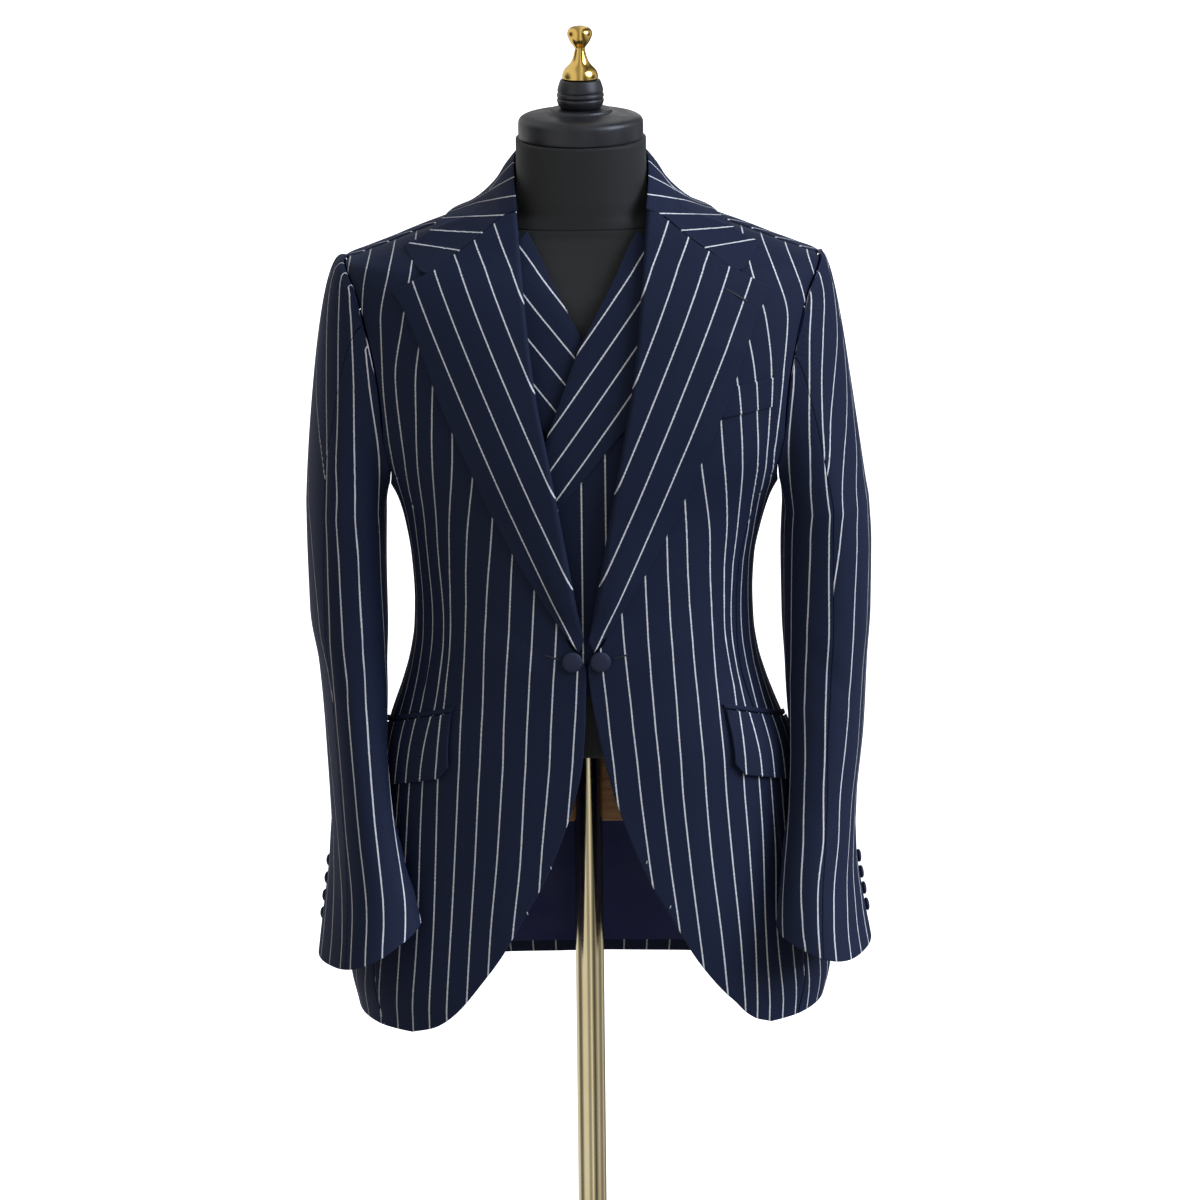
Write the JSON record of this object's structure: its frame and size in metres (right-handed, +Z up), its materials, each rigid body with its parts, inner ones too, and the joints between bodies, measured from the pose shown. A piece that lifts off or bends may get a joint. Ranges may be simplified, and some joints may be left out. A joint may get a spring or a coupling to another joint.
{
  "type": "suit jacket and waistcoat on a dress form",
  "caption": "Tailored jacket with wide notched lapels, worn open below a linked button over a wrapped waistcoat, on a limbless dress form with a pole stand.",
  "frame": {"origin": "centre of the stand base's flat underside, on the pole's axis", "axes": "+Z up along the pole, fronts facing -Y, the wearer's right arm on -X"},
  "size_m": [0.523, 0.372, 1.66],
  "materials": {
    "suit_cloth": "navy worsted with a pale chalk stripe",
    "lining": "smooth indigo lining",
    "form_jersey": "black jersey over the form",
    "black_turned_wood": "black satin paint",
    "brass": "polished and lacquered",
    "beech": "oiled",
    "base_iron": "black satin paint"
  },
  "bodies": {
    "root": {"back_hem_turnup": "suit_cloth", "back_left": "suit_cloth", "back_lining": "lining", "back_right": "suit_cloth", "brass_finial": "brass", "breast_welt": "suit_cloth", "collar": "suit_cloth", "cuff_button_left_1": "suit_cloth", "cuff_button_left_2": "suit_cloth", "cuff_button_left_3": "suit_cloth", "cuff_button_left_4": "suit_cloth", "cuff_button_right_1": "suit_cloth", "cuff_button_right_2": "suit_cloth", "cuff_button_right_3": "suit_cloth", "cuff_button_right_4": "suit_cloth", "finial_block": "black_turned_wood", "flap_left": "suit_cloth", "flap_right": "suit_cloth", "form_torso": "form_jersey", "front_button_left": "suit_cloth", "front_button_right": "suit_cloth", "front_left": "suit_cloth", "front_right": "suit_cloth", "jet_left": "suit_cloth", "jet_right": "suit_cloth", "lapel_left": "suit_cloth", "lapel_right": "suit_cloth", "mounting_board": "beech", "neck_cap": "black_turned_wood", "side_left": "suit_cloth", "side_right": "suit_cloth", "stand_base": "base_iron", "stand_pole": "brass", "top_sleeve_left": "suit_cloth", "top_sleeve_right": "suit_cloth", "under_sleeve_left": "suit_cloth", "under_sleeve_right": "suit_cloth", "waistcoat_back_left": "lining", "waistcoat_back_right": "lining", "waistcoat_button_1": "suit_cloth", "waistcoat_button_2": "suit_cloth", "waistcoat_button_3": "suit_cloth", "waistcoat_front_left": "suit_cloth", "waistcoat_front_right": "suit_cloth", "waistcoat_lapel_left": "suit_cloth", "waistcoat_lapel_right": "suit_cloth"}
  },
  "joints": []
}
